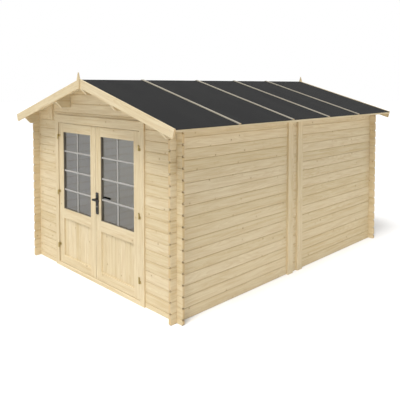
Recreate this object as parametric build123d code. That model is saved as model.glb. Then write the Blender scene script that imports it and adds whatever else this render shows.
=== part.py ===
from build123d import *
import math
import os

# A garden log cabin: notched log walls, a felted gable roof on purlins and a glazed double door.
# The origin is on the ground at the centre of the footprint. X runs across the front, with the double door
# facing -Y, Y runs into the depth and Z is up. Lengths are in millimetres.

# Driving dimensions: the walls
LOG_THICKNESS = 28.0
LOG_PITCH = 114.0
LOG_CHAMFER = 5.0
END_CHAMFER = 13.0
LOG_JOINT = 0.3
CABIN_WIDTH = 2836.0
CABIN_DEPTH = 3966.0
CORNER_PROJECTION = 82.0
NOTCH_PLAY = 0.3
SPLICE_CENTRE_Y = -20.0
SPLICE_SPACING = 202.0
SPLICE_BOARD_WIDTH = 100.0
SPLICE_BOARD_THICKNESS = 26.0

# Driving dimensions: the roof
RIDGE_HEIGHT = 2400.0
ROOF_SLOPE_DEG = 16.1
DECK_THICKNESS = 18.0
FELT_THICKNESS = 4.0
EAVE_OVERHANG = 186.0
GABLE_OVERHANG = 190.0
# The top side log is never lower than this at its outer face
EAVE_LOG_LEAST = 100.0
EAVE_STRIP_THICKNESS = 18.0
EAVE_STRIP_DEPTH = 21.0
FELT_BATTEN_WIDTH = 34.0
FELT_BATTEN_THICKNESS = 8.0
# Places of the battens along the roof, from the front edge
FELT_BATTEN_SHARES = (0.205, 0.424, 0.603, 0.782)
BARGE_THICKNESS = 20.0
BARGE_DEPTH = 95.0
BARGE_RISE = 6.0
PURLIN_WIDTH = 44.0
PURLIN_HEIGHT = 150.0
PURLIN_OFFSET = 579.0
BEAM_END_CUT = 70.0
FINIAL_WIDTH = 48.0
FINIAL_THICKNESS = 16.0
FINIAL_ABOVE = 75.0
FINIAL_BELOW = 116.0
CLEAT_WIDTH = 118.0
CLEAT_THICKNESS = 18.0
CLEAT_CENTRE_X = 1055.0
CLEAT_LIFT = 7.0

# Driving dimensions: the floor
FLOOR_BOARD_THICKNESS = 19.0
FLOOR_CLEARANCE = 5.0
BEARER_WIDTH = 58.0
BEARERS = 6

# Driving dimensions: the double door
LEAF_OUTER_X = 845.0
LEAF_GAP = 6.0
LEAF_THICKNESS = 36.0
LEAF_PROUD = 4.0
STILE_WIDTH = 106.0
TOP_RAIL = 110.0
BOTTOM_RAIL = 103.0
LOCK_RAIL_LOW = 636.0
LOCK_RAIL_HIGH = 760.0
GLASS_THICKNESS = 4.0
GLASS_RECESS = 22.0
PANEL_THICKNESS = 15.0
PANEL_RECESS = 14.0
REBATE = 10.0
JAMB_WIDTH = 76.0
JAMB_PROUD = 16.0
JAMB_PROUD_INSIDE = 24.0
STOP_COVER = 14.0
HEAD_HEIGHT = 102.0
# How far the head reaches up into the log over the door
HEAD_RECESS = 79.0
LOG_SEAT = 30.0
SETTLEMENT_GAP = 30.0
SILL_DROP = 12.0
SILL_BEVEL = 9.0

# Driving dimensions: the hinges and the handle
LOW_HINGE_RISE = 217.0
TOP_HINGE_DROP = 173.0
MID_HINGE_SHARE = 0.489
BARREL_RADIUS = 8.0
BARREL_HEIGHT = 58.0
BARREL_CLEARANCE = 1.0
PIN_RADIUS = 4.0
PIN_PLAY = 0.05
KNUCKLE_GAP = 0.3
HINGE_PLATE_WIDTH = 26.0
HINGE_PLATE_THICKNESS = 3.0
PLATE_WIDTH = 52.0
PLATE_HEIGHT = 254.0
PLATE_THICKNESS = 8.0
PLATE_EDGE = 6.0
PLATE_CORNER = 8.0
PLATE_CENTRE_Z = 955.0
LEVER_Z = 1009.0
LEVER_HEIGHT = 22.0
LEVER_THICKNESS = 13.0
LEVER_REACH = 110.0
LEVER_STANDOFF = 48.0
SPINDLE_RADIUS = 9.0
SPINDLE_PLAY = 0.05

# Worked-out places
HALF_WIDTH = CABIN_WIDTH / 2
HALF_DEPTH = CABIN_DEPTH / 2
HALF_LOG = LOG_PITCH / 2
NOTCH_DEPTH = LOG_PITCH / 4
FRONT_Y = -HALF_DEPTH
SLOPE = math.tan(math.radians(ROOF_SLOPE_DEG))
COS_SLOPE = math.cos(math.radians(ROOF_SLOPE_DEG))
DECK_TOP = RIDGE_HEIGHT - FELT_THICKNESS / COS_SLOPE
DECK_UNDERSIDE = DECK_TOP - DECK_THICKNESS / COS_SLOPE
ROOF_HALF_WIDTH = HALF_WIDTH + EAVE_OVERHANG
ROOF_HALF_LENGTH = HALF_DEPTH + GABLE_OVERHANG
# As many side logs as the roof leaves room for, with the eave log on top of them
WALL_COURSES = math.floor((DECK_UNDERSIDE - SLOPE * HALF_WIDTH - EAVE_LOG_LEAST) / LOG_PITCH)
WALL_TOP = WALL_COURSES * LOG_PITCH
# Front and back courses start with a half log, so their joints fall half way up the side logs
GABLE_FOOT = WALL_TOP + HALF_LOG
SILL_TOP = HALF_LOG - SILL_DROP
# The log over the door is cut away to half its height, and the head covers the cut
LINTEL_CUT = GABLE_FOOT + HALF_LOG
HEAD_TOP = GABLE_FOOT + HEAD_RECESS
HEAD_BOTTOM = HEAD_TOP - HEAD_HEIGHT
LEAF_BOTTOM = SILL_TOP + LEAF_GAP
LEAF_TOP = HEAD_BOTTOM - LEAF_GAP
LEAF_FACE_Y = FRONT_Y - LEAF_PROUD
LEAF_BACK_Y = LEAF_FACE_Y + LEAF_THICKNESS
JAMB_INNER_X = LEAF_OUTER_X + LEAF_GAP
JAMB_OUTER_X = JAMB_INNER_X + JAMB_WIDTH
JAMB_FRONT_Y = FRONT_Y - JAMB_PROUD
JAMB_BACK_Y = FRONT_Y + LOG_THICKNESS + JAMB_PROUD_INSIDE
STOP_FRONT_Y = LEAF_BACK_Y + LEAF_GAP
STOP_INNER_X = LEAF_OUTER_X - STOP_COVER
STOP_BOTTOM = LEAF_TOP - STOP_COVER
LOG_END_X = JAMB_OUTER_X - LOG_SEAT
HINGE_X = LEAF_OUTER_X + LEAF_GAP / 2
HINGE_Y = JAMB_FRONT_Y - BARREL_RADIUS - BARREL_CLEARANCE
# Room for a cutting solid to pass clear of what it cuts
PAST = 2 * LOG_PITCH


def box(x0, x1, y0, y1, z0, z1):
    """A plain block between two corners."""
    centre = Pos((x0 + x1) / 2, (y0 + y1) / 2, (z0 + z1) / 2)
    return centre * Box(x1 - x0, y1 - y0, z1 - z0)


def across(points, y0, y1):
    """A prism of an X-Z outline, run along Y."""
    plane = Plane(origin=(0, y1, 0), x_dir=(1, 0, 0), z_dir=(0, -1, 0))
    outline = plane * make_face(Polyline(*points, close=True))
    return extrude(outline, amount=y1 - y0, dir=(0, -1, 0))


def along(points, x0, x1):
    """A prism of a Y-Z outline, run along X."""
    plane = Plane(origin=(x0, 0, 0), x_dir=(0, 1, 0), z_dir=(1, 0, 0))
    outline = plane * make_face(Polyline(*points, close=True))
    return extrude(outline, amount=x1 - x0, dir=(1, 0, 0))


def mirror_x(shape):
    """The same piece on the other side of the cabin."""
    return mirror(shape, about=Plane.YZ)


def mirror_y(shape):
    """The same piece at the other gable."""
    return mirror(shape, about=Plane.XZ)


def solids_of(shape):
    """The separate solids of a cut piece."""
    return list(shape.solids())


def roof_line(x, top):
    """The height of a roof surface over a place across the cabin, from its height at the ridge."""
    return top - SLOPE * abs(x)


def log_section(centre, low, high):
    """A log's section, with its four long edges cut back so that each joint is a V."""
    out, back = centre - LOG_THICKNESS / 2, centre + LOG_THICKNESS / 2
    top = high - LOG_JOINT
    return [
        (out, low + LOG_CHAMFER), (out + LOG_CHAMFER, low), (back - LOG_CHAMFER, low),
        (back, low + LOG_CHAMFER), (back, top - LOG_CHAMFER), (back - LOG_CHAMFER, top),
        (out + LOG_CHAMFER, top), (out, top - LOG_CHAMFER),
    ]


def above_roof():
    """Everything over the underside of the roof boards."""
    reach = HALF_WIDTH + PAST
    peak = DECK_UNDERSIDE - LOG_JOINT
    sky = RIDGE_HEIGHT + PAST
    points = [(-reach, roof_line(reach, peak)), (0, peak), (reach, roof_line(reach, peak)),
              (reach, sky), (-reach, sky)]
    return across(points, -ROOF_HALF_LENGTH - PAST, ROOF_HALF_LENGTH + PAST)


ABOVE_ROOF = above_roof()


def notches(x, y, low, high, first=False):
    """The cuts above and below the neck that a log keeps where it crosses another wall."""
    reach = LOG_THICKNESS / 2 + NOTCH_PLAY
    neck_low = low + NOTCH_DEPTH
    neck_high = low + LOG_PITCH - NOTCH_DEPTH
    if first:
        neck_low = low
        neck_high = low + NOTCH_DEPTH
    cuts = [box(x - reach, x + reach, y - reach, y + reach, neck_high - LOG_JOINT, high + PAST)]
    if neck_low > low:
        cuts.append(box(x - reach, x + reach, y - reach, y + reach, low - PAST, neck_low))
    return cuts


def cut(shape, cutters):
    """A piece with each cutter taken off it."""
    for cutter in cutters:
        shape = shape - cutter
    return shape


def end_corner(end, way, high, top):
    """The outline that takes the top corner, or the bottom one, off a log end that points one way."""
    up = PAST if top else -PAST
    ease = END_CHAMFER if top else -END_CHAMFER
    return [(end - way * (END_CHAMFER + PAST), high + up), (end + way * PAST, high + up),
            (end + way * PAST, high - ease - up)]


SIDE_WALL_X = HALF_WIDTH - LOG_THICKNESS / 2
END_WALL_Y = HALF_DEPTH - LOG_THICKNESS / 2


def side_end(way, low, high):
    """The cuts that ease a side log's projecting end, at the front or at the back."""
    end = way * (HALF_DEPTH + CORNER_PROJECTION)
    reach = (SIDE_WALL_X - PAST, SIDE_WALL_X + PAST)
    return [along(end_corner(end, way, high - LOG_JOINT, True), *reach),
            along(end_corner(end, way, low, False), *reach)]


def side_wall_logs():
    """The right wall's logs, in two lengths that meet in turn behind one cover board and the other."""
    logs = []
    end_y = HALF_DEPTH + CORNER_PROJECTION
    for course in range(WALL_COURSES):
        low = course * LOG_PITCH
        section = log_section(SIDE_WALL_X, low, low + LOG_PITCH)
        side = 1 if course % 2 else -1
        meet_y = SPLICE_CENTRE_Y + side * SPLICE_SPACING / 2
        front = across(section, -end_y, meet_y - LOG_JOINT / 2)
        rear = across(section, meet_y + LOG_JOINT / 2, end_y)
        high = low + LOG_PITCH
        logs.append(cut(front, notches(SIDE_WALL_X, -END_WALL_Y, low, high) + side_end(-1, low, high)))
        logs.append(cut(rear, notches(SIDE_WALL_X, END_WALL_Y, low, high) + side_end(1, low, high)))
    return logs


def beam_end_cut(low, end_y, x):
    """The slanted cut under the front end of a beam that carries the gable overhang."""
    points = [(-end_y, low + BEAM_END_CUT), (-end_y + BEAM_END_CUT, low),
              (-end_y + BEAM_END_CUT, low - PAST), (-end_y - PAST, low - PAST),
              (-end_y - PAST, low + BEAM_END_CUT)]
    return along(points, x - PAST, x + PAST)


def eave_log():
    """The right wall's top log: it runs out under both gable overhangs and is bevelled to the roof."""
    low, high = WALL_TOP, DECK_UNDERSIDE
    section = log_section(SIDE_WALL_X, low, high)
    beam = across(section, -ROOF_HALF_LENGTH, ROOF_HALF_LENGTH) - ABOVE_ROOF
    end = beam_end_cut(low, ROOF_HALF_LENGTH, SIDE_WALL_X)
    cuts = [end, mirror_y(end)]
    for y in (-END_WALL_Y, END_WALL_Y):
        cuts += notches(SIDE_WALL_X, y, low, high)
    return cut(beam, cuts)


def end_log(x0, x1, low, high, first=False):
    """A front or back wall log, notched where it crosses a side wall, with its projecting ends eased."""
    log = along(log_section(-END_WALL_Y, low, high), x0, x1)
    reach = (-END_WALL_Y - PAST, -END_WALL_Y + PAST)
    for x, end, way in ((-SIDE_WALL_X, x0, -1), (SIDE_WALL_X, x1, 1)):
        if x0 < x < x1:
            ease = [across(end_corner(end, way, high - LOG_JOINT, True), *reach),
                    across(end_corner(end, way, low, False), *reach)]
            log = cut(log, notches(x, -END_WALL_Y, low, high, first) + ease)
    return log


END_LOG_X = HALF_WIDTH + CORNER_PROJECTION


def half_log():
    """The half log on the ground at the front, under the full logs."""
    return end_log(-END_LOG_X, END_LOG_X, 0, HALF_LOG, first=True)


def sill_log():
    """The front half log, cut down between the jambs for the doors to pass over."""
    doorway = box(-JAMB_INNER_X, JAMB_INNER_X, FRONT_Y - PAST, FRONT_Y + PAST, SILL_TOP, HALF_LOG + PAST)
    return half_log() - doorway


def front_wall_right_logs():
    """The short logs between the door frame and the right corner."""
    logs = []
    for course in range(WALL_COURSES):
        low = HALF_LOG + course * LOG_PITCH
        logs.append(end_log(LOG_END_X, END_LOG_X, low, low + LOG_PITCH))
    return logs


def back_wall_logs():
    """The back wall's full logs, modelled at the front and turned over to the back."""
    logs = [half_log()]
    for course in range(WALL_COURSES):
        low = HALF_LOG + course * LOG_PITCH
        logs.append(end_log(-END_LOG_X, END_LOG_X, low, low + LOG_PITCH))
    return [mirror_y(log) for log in logs]


def purlin(x):
    """A roof purlin: its top is bevelled to the boards and both ends are cut on a slant below."""
    edges = (x - PURLIN_WIDTH / 2, x + PURLIN_WIDTH / 2)
    low = roof_line(x, DECK_UNDERSIDE) - PURLIN_HEIGHT
    beam = box(*edges, -ROOF_HALF_LENGTH, ROOF_HALF_LENGTH, low, DECK_UNDERSIDE) - ABOVE_ROOF
    end = beam_end_cut(low, ROOF_HALF_LENGTH, x)
    return cut(beam, [end, mirror_y(end)])


def purlin_slot(x):
    """The slot that a gable's logs leave for a purlin."""
    reach = PURLIN_WIDTH / 2 + NOTCH_PLAY
    low = roof_line(x, DECK_UNDERSIDE) - PURLIN_HEIGHT - NOTCH_PLAY
    return box(x - reach, x + reach, -HALF_DEPTH - PAST, -HALF_DEPTH + PAST, low, RIDGE_HEIGHT + PAST)


GABLE_COURSES = math.ceil((DECK_UNDERSIDE - LOG_CHAMFER - GABLE_FOOT) / LOG_PITCH)


def gable_course(course):
    """One course over the wall's top, cut to the roof's slope and round the purlins."""
    low = GABLE_FOOT + course * LOG_PITCH
    log = end_log(-END_LOG_X, END_LOG_X, low, low + LOG_PITCH)
    slots = [purlin_slot(x) for x in (-PURLIN_OFFSET, 0, PURLIN_OFFSET)]
    return solids_of(cut(log, slots + [ABOVE_ROOF]))


def gable_logs(first):
    """The front logs from a course of the gable up to the roof."""
    return [log for course in range(first, GABLE_COURSES) for log in gable_course(course)]


def lintel_log():
    """The gable's lowest log at the front, cut away over the door."""
    door_room = box(-LOG_END_X, LOG_END_X, FRONT_Y - PAST, FRONT_Y + PAST, 0, LINTEL_CUT)
    return gable_course(0)[0] - door_room


def splice_boards():
    """The right wall's four upright boards, outside and inside, that hold the butted logs in line."""
    boards = []
    outside = (HALF_WIDTH, HALF_WIDTH + SPLICE_BOARD_THICKNESS)
    inside = (HALF_WIDTH - LOG_THICKNESS - SPLICE_BOARD_THICKNESS, HALF_WIDTH - LOG_THICKNESS)
    for side in (-1, 1):
        y = SPLICE_CENTRE_Y + side * SPLICE_SPACING / 2
        edges = (y - SPLICE_BOARD_WIDTH / 2, y + SPLICE_BOARD_WIDTH / 2)
        boards.append(box(*outside, *edges, 0, DECK_UNDERSIDE) - ABOVE_ROOF)
        boards.append(box(*inside, *edges, SILL_TOP + LOG_JOINT, DECK_UNDERSIDE) - ABOVE_ROOF)
    return boards


def gable_cleats():
    """The short upright boards at the foot of each gable."""
    edges = (CLEAT_CENTRE_X - CLEAT_WIDTH / 2, CLEAT_CENTRE_X + CLEAT_WIDTH / 2)
    low = GABLE_FOOT + CLEAT_LIFT
    cleat = box(*edges, FRONT_Y - CLEAT_THICKNESS, FRONT_Y, low, DECK_UNDERSIDE) - ABOVE_ROOF
    return [cleat, mirror_x(cleat), mirror_y(cleat), mirror_x(mirror_y(cleat))]


def slope_slab(x0, x1, top, thickness, y0, y1):
    """A slab that lies on the right slope, plumb at both long edges."""
    drop = thickness / COS_SLOPE
    points = [(x0, roof_line(x0, top)), (x1, roof_line(x1, top)),
              (x1, roof_line(x1, top) - drop), (x0, roof_line(x0, top) - drop)]
    return across(points, y0, y1)


FELT_HALF_WIDTH = ROOF_HALF_WIDTH + EAVE_STRIP_THICKNESS


def roof_deck():
    """The right slope's roof boards."""
    return slope_slab(0, ROOF_HALF_WIDTH, DECK_TOP, DECK_THICKNESS, -ROOF_HALF_LENGTH, ROOF_HALF_LENGTH)


def roof_felt():
    """The right slope's felt, over the boards and the eave strip."""
    return slope_slab(0, FELT_HALF_WIDTH, RIDGE_HEIGHT, FELT_THICKNESS, -ROOF_HALF_LENGTH, ROOF_HALF_LENGTH)


def eave_strip():
    """The strip along the right slope's lower edge."""
    return slope_slab(ROOF_HALF_WIDTH, FELT_HALF_WIDTH, DECK_TOP, EAVE_STRIP_DEPTH,
                      -ROOF_HALF_LENGTH, ROOF_HALF_LENGTH)


def felt_battens():
    """The right slope's battens, which pin the felt joints from ridge to eave."""
    top = RIDGE_HEIGHT + FELT_BATTEN_THICKNESS / COS_SLOPE
    battens = []
    for share in FELT_BATTEN_SHARES:
        y = (2 * share - 1) * ROOF_HALF_LENGTH
        edges = (y - FELT_BATTEN_WIDTH / 2, y + FELT_BATTEN_WIDTH / 2)
        battens.append(slope_slab(LOG_JOINT, FELT_HALF_WIDTH, top, FELT_BATTEN_THICKNESS, *edges))
    return battens


def bargeboard():
    """The front right bargeboard: plumb at the ridge, square at the eave."""
    top = RIDGE_HEIGHT + BARGE_RISE
    drop = BARGE_DEPTH / COS_SLOPE
    lean = BARGE_DEPTH * SLOPE * COS_SLOPE
    low_x = FELT_HALF_WIDTH - lean
    points = [(LOG_JOINT / 2, top), (FELT_HALF_WIDTH, roof_line(FELT_HALF_WIDTH, top)),
              (low_x, roof_line(low_x, top) - drop), (LOG_JOINT / 2, top - drop)]
    return across(points, -ROOF_HALF_LENGTH - BARGE_THICKNESS, -ROOF_HALF_LENGTH)


def finial():
    """The pointed board over the joint of the front bargeboards."""
    half = FINIAL_WIDTH / 2
    top = RIDGE_HEIGHT + BARGE_RISE
    points = [(0, top + FINIAL_ABOVE), (half, top), (half, top - FINIAL_BELOW + half),
              (0, top - FINIAL_BELOW), (-half, top - FINIAL_BELOW + half), (-half, top)]
    face_y = -ROOF_HALF_LENGTH - BARGE_THICKNESS
    return across(points, face_y - FINIAL_THICKNESS, face_y)


FLOOR_HALF_WIDTH = HALF_WIDTH - LOG_THICKNESS - FLOOR_CLEARANCE
FLOOR_HALF_DEPTH = HALF_DEPTH - LOG_THICKNESS - FLOOR_CLEARANCE
BEARER_TOP = SILL_TOP - FLOOR_BOARD_THICKNESS


def floor_deck():
    """The boarded floor, level with the door sill."""
    return box(-FLOOR_HALF_WIDTH, FLOOR_HALF_WIDTH, -FLOOR_HALF_DEPTH, FLOOR_HALF_DEPTH, BEARER_TOP, SILL_TOP)


def floor_bearers():
    """The bearers on the ground that carry the floor."""
    step = (2 * FLOOR_HALF_WIDTH - BEARER_WIDTH) / (BEARERS - 1)
    bearers = []
    for count in range(BEARERS):
        low = -FLOOR_HALF_WIDTH + count * step
        bearers.append(box(low, low + BEARER_WIDTH, -FLOOR_HALF_DEPTH, FLOOR_HALF_DEPTH, 0, BEARER_TOP))
    return bearers


# The groove that takes a log, from its outer cheek to its inner one
LOG_GROOVE = (FRONT_Y - NOTCH_PLAY, FRONT_Y + LOG_THICKNESS + NOTCH_PLAY)


def door_jamb():
    """The right jamb: grooved to take the log ends, and forked over the half log at its foot."""
    post = box(JAMB_INNER_X, JAMB_OUTER_X, JAMB_FRONT_Y, JAMB_BACK_Y, 0, HEAD_BOTTOM)
    groove = box(LOG_END_X - NOTCH_PLAY, JAMB_OUTER_X + PAST, *LOG_GROOVE, 0, HEAD_BOTTOM + PAST)
    fork = box(JAMB_INNER_X - PAST, JAMB_OUTER_X + PAST, *LOG_GROOVE, -PAST, HALF_LOG)
    floor_room = box(JAMB_INNER_X - PAST, JAMB_OUTER_X + PAST, LOG_GROOVE[0], JAMB_BACK_Y + PAST,
                     -PAST, SILL_TOP)
    return cut(post, [groove, fork, floor_room])


def door_sill():
    """The bevelled board in front of the half log, between the jambs."""
    outline = [(JAMB_FRONT_Y, 0), (JAMB_FRONT_Y, SILL_TOP - SILL_BEVEL),
               (JAMB_FRONT_Y + SILL_BEVEL, SILL_TOP), (FRONT_Y, SILL_TOP), (FRONT_Y, 0)]
    return along(outline, -JAMB_INNER_X, JAMB_INNER_X)


def door_head():
    """The beam over the doors, grooved for the log above, which has room to settle as the walls dry."""
    board = box(-JAMB_OUTER_X, JAMB_OUTER_X, JAMB_FRONT_Y, JAMB_BACK_Y, HEAD_BOTTOM, HEAD_TOP)
    end = box(LOG_END_X - NOTCH_PLAY, JAMB_OUTER_X + PAST, *LOG_GROOVE, 0, HEAD_TOP + PAST)
    groove = box(-JAMB_OUTER_X, JAMB_OUTER_X, *LOG_GROOVE, LINTEL_CUT - SETTLEMENT_GAP, HEAD_TOP + PAST)
    return cut(board, [end, mirror_x(end), groove])


def door_stops():
    """The strips planted inside the frame, behind the leaves: one under the head, one on each jamb."""
    depth = (STOP_FRONT_Y, JAMB_BACK_Y)
    top = box(-JAMB_INNER_X, JAMB_INNER_X, *depth, STOP_BOTTOM, HEAD_BOTTOM)
    side = box(STOP_INNER_X, JAMB_INNER_X, *depth, SILL_TOP, STOP_BOTTOM - LOG_JOINT)
    return [top, side, mirror_x(side)]


LEAF_INNER_X = LEAF_GAP / 2
GLASS_LOW_X = LEAF_INNER_X + STILE_WIDTH
GLASS_HIGH_X = LEAF_OUTER_X - STILE_WIDTH
GLASS_FRONT_Y = LEAF_FACE_Y + GLASS_RECESS
PANEL_FRONT_Y = LEAF_FACE_Y + PANEL_RECESS


def leaf_grooves():
    """The grooves in stiles and rails that hold the glass and the panel."""
    x = (GLASS_LOW_X - REBATE, GLASS_HIGH_X + REBATE)
    glass = box(*x, GLASS_FRONT_Y, GLASS_FRONT_Y + GLASS_THICKNESS,
                LOCK_RAIL_HIGH - REBATE, LEAF_TOP - TOP_RAIL + REBATE)
    panel = box(*x, PANEL_FRONT_Y, PANEL_FRONT_Y + PANEL_THICKNESS,
                LEAF_BOTTOM + BOTTOM_RAIL - REBATE, LOCK_RAIL_LOW + REBATE)
    return glass, panel


def leaf_stiles():
    """The right leaf's two uprights."""
    depth = (LEAF_FACE_Y, LEAF_BACK_Y)
    lock = box(LEAF_INNER_X, GLASS_LOW_X, *depth, LEAF_BOTTOM, LEAF_TOP)
    hang = box(GLASS_HIGH_X, LEAF_OUTER_X, *depth, LEAF_BOTTOM, LEAF_TOP)
    return [cut(lock, leaf_grooves()), cut(hang, leaf_grooves())]


def leaf_rails():
    """The right leaf's top, lock and bottom rails."""
    spans = [(LEAF_BOTTOM, LEAF_BOTTOM + BOTTOM_RAIL), (LOCK_RAIL_LOW, LOCK_RAIL_HIGH),
             (LEAF_TOP - TOP_RAIL, LEAF_TOP)]
    rails = []
    for low, high in spans:
        rail = box(GLASS_LOW_X, GLASS_HIGH_X, LEAF_FACE_Y, LEAF_BACK_Y, low, high)
        rails.append(cut(rail, leaf_grooves()))
    return rails


def leaf_glass():
    """The right leaf's glass, seated in its groove."""
    return leaf_grooves()[0]


def leaf_panel():
    """The right leaf's boarded lower panel, seated in its groove."""
    return leaf_grooves()[1]


LOW_HINGE = LEAF_BOTTOM + LOW_HINGE_RISE
TOP_HINGE = LEAF_TOP - TOP_HINGE_DROP
HINGE_HEIGHTS = (LOW_HINGE, LOW_HINGE + MID_HINGE_SHARE * (TOP_HINGE - LOW_HINGE), TOP_HINGE)


def barrel(low, high, radius):
    """A stretch of the right hinge line."""
    return Pos(HINGE_X, HINGE_Y, (low + high) / 2) * Cylinder(radius, high - low)


def hinge_pins():
    """The right jamb's hinge halves: a flag on the jamb's face, a knuckle and the pin on it."""
    pins = []
    for height in HINGE_HEIGHTS:
        low, high = height - BARREL_HEIGHT / 2, height + BARREL_HEIGHT / 2
        knuckle = barrel(low, height, BARREL_RADIUS)
        pin = barrel(height, high - HINGE_PLATE_THICKNESS, PIN_RADIUS)
        flag = box(HINGE_X, HINGE_X + HINGE_PLATE_WIDTH, JAMB_FRONT_Y - HINGE_PLATE_THICKNESS,
                   JAMB_FRONT_Y, low, height)
        pins.append(knuckle + pin + flag)
    return pins


def hinge_sleeves():
    """The right leaf's hinge halves: a bent flag on the leaf's face and the sleeve over the pin."""
    sleeves = []
    for height in HINGE_HEIGHTS:
        low, high = height + KNUCKLE_GAP, height + BARREL_HEIGHT / 2
        sleeve = barrel(low, high, BARREL_RADIUS)
        half = HINGE_PLATE_THICKNESS / 2
        foot_x = HINGE_X - BARREL_RADIUS - HINGE_PLATE_THICKNESS
        bend = box(foot_x + half, HINGE_X, HINGE_Y - half, HINGE_Y + half, low, high)
        foot = box(foot_x, foot_x + HINGE_PLATE_THICKNESS, HINGE_Y - half, LEAF_FACE_Y, low, high)
        flag = box(foot_x - HINGE_PLATE_WIDTH, foot_x + HINGE_PLATE_THICKNESS,
                   LEAF_FACE_Y - HINGE_PLATE_THICKNESS, LEAF_FACE_Y, low, high)
        bore = barrel(low - PAST, high - HINGE_PLATE_THICKNESS + KNUCKLE_GAP, PIN_RADIUS + PIN_PLAY)
        sleeves.append(sleeve + bend + foot + flag - bore)
    return sleeves


SPINDLE_X = LEAF_INNER_X + PLATE_EDGE + PLATE_WIDTH / 2


def spindle(radius, y0, y1):
    """A stretch of the handle's spindle line."""
    turned = Pos(SPINDLE_X, (y0 + y1) / 2, LEVER_Z) * Rot(90, 0, 0)
    return turned * Cylinder(radius, y1 - y0)


def handle_plate(y0, y1):
    """A long plate with its corners cut off, bored for the spindle."""
    half = PLATE_WIDTH / 2
    plate = box(SPINDLE_X - half, SPINDLE_X + half, y0, y1,
                PLATE_CENTRE_Z - PLATE_HEIGHT / 2, PLATE_CENTRE_Z + PLATE_HEIGHT / 2)
    plate = chamfer(plate.edges().filter_by(Axis.Y), PLATE_CORNER)
    return plate - spindle(SPINDLE_RADIUS + SPINDLE_PLAY, y0 - PAST, y1 + PAST)


def handle_plates():
    """The plates on both faces of the right leaf."""
    return [handle_plate(LEAF_FACE_Y - PLATE_THICKNESS, LEAF_FACE_Y),
            handle_plate(LEAF_BACK_Y, LEAF_BACK_Y + PLATE_THICKNESS)]


def lever_arm(y0, y1):
    """A flat lever with round ends, level at rest."""
    plane = Plane(origin=(SPINDLE_X + LEVER_REACH / 2, y1, LEVER_Z), x_dir=(1, 0, 0), z_dir=(0, -1, 0))
    outline = plane * SlotOverall(LEVER_REACH + LEVER_HEIGHT, LEVER_HEIGHT)
    return extrude(outline, amount=y1 - y0, dir=(0, -1, 0))


def handle_levers():
    """The two levers and their spindle, which turn as one."""
    out_y = LEAF_FACE_Y - PLATE_THICKNESS - LEVER_STANDOFF
    in_y = LEAF_BACK_Y + PLATE_THICKNESS + LEVER_STANDOFF
    outside = lever_arm(out_y - LEVER_THICKNESS, out_y)
    inside = lever_arm(in_y, in_y + LEVER_THICKNESS)
    return spindle(SPINDLE_RADIUS, out_y, in_y) + outside + inside


def bored_stiles():
    """The right leaf's uprights, with the lock upright bored for the spindle."""
    bore = spindle(SPINDLE_RADIUS + SPINDLE_PLAY, LEAF_FACE_Y - PAST, LEAF_BACK_Y + PAST)
    return [stile - bore for stile in leaf_stiles()]


def both(make):
    """A right-hand piece or list of pieces, and its mirror image."""
    made = make()
    pieces = made if isinstance(made, list) else [made]
    return pieces, [mirror_x(piece) for piece in pieces]


def save(node, shapes):
    """Writes one node's solids to its file."""
    pieces = shapes if isinstance(shapes, list) else [shapes]
    solids = [solid for piece in pieces for solid in piece.solids()]
    whole = solids[0] if len(solids) == 1 else Compound(children=solids)
    whole.label = node
    export_step(whole, f"parts/{node}.step")


def save_pair(stem, make):
    """Writes a right-hand node and its mirror image, as right_STEM and left_STEM."""
    right, left = both(make)
    save(f"right_{stem}", right)
    save(f"left_{stem}", left)


os.makedirs("parts", exist_ok=True)

# Floor and walls
save("floor_bearers", floor_bearers())
save("floor_deck", floor_deck())
save("front_sill_log", sill_log())
save_pair("front_wall_logs", front_wall_right_logs)
save("front_lintel_log", lintel_log())
save("front_gable_logs", gable_logs(first=1))
save("back_wall_logs", back_wall_logs())
save("back_gable_logs", [mirror_y(log) for log in gable_logs(first=0)])
save_pair("wall_logs", side_wall_logs)
save_pair("eave_log", eave_log)
save_pair("wall_splice_boards", splice_boards)
save("gable_cleats", gable_cleats())

# Roof
save("ridge_purlin", purlin(0))
save("right_purlin", purlin(PURLIN_OFFSET))
save("left_purlin", purlin(-PURLIN_OFFSET))
save_pair("roof_deck", roof_deck)
save_pair("roof_felt", roof_felt)
save_pair("felt_battens", felt_battens)
save_pair("eave_strip", eave_strip)
save_pair("front_bargeboard", bargeboard)
save_pair("back_bargeboard", lambda: mirror_y(bargeboard()))
save("front_finial", finial())
save("back_finial", mirror_y(finial()))

# Door frame and double door
save("door_sill", door_sill())
save_pair("door_jamb", door_jamb)
save("door_head", door_head())
save("door_stops", door_stops())
save_pair("hinge_pins", hinge_pins)
save("right_door_stiles", bored_stiles())
save("left_door_stiles", [mirror_x(stile) for stile in leaf_stiles()])
save_pair("door_rails", leaf_rails)
save_pair("door_glass", leaf_glass)
save_pair("door_panel", leaf_panel)
save_pair("door_hinges", hinge_sleeves)
save("handle_plates", handle_plates())
save("handle_levers", handle_levers())
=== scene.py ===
# %% [markdown]
# # A garden log cabin
# The cabin comes in as solids: notched logs, purlins, a felted roof and two glazed door leaves. This
# lesson dresses them. Logs, beams and frames keep their solids and get a pine finish. Slabs that are
# really made of boards are replaced by boards, and things too fine for the solids are added.

# %% Load the cabin
import math

import bmesh
import bpy
from mathutils import Matrix, Vector


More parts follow.
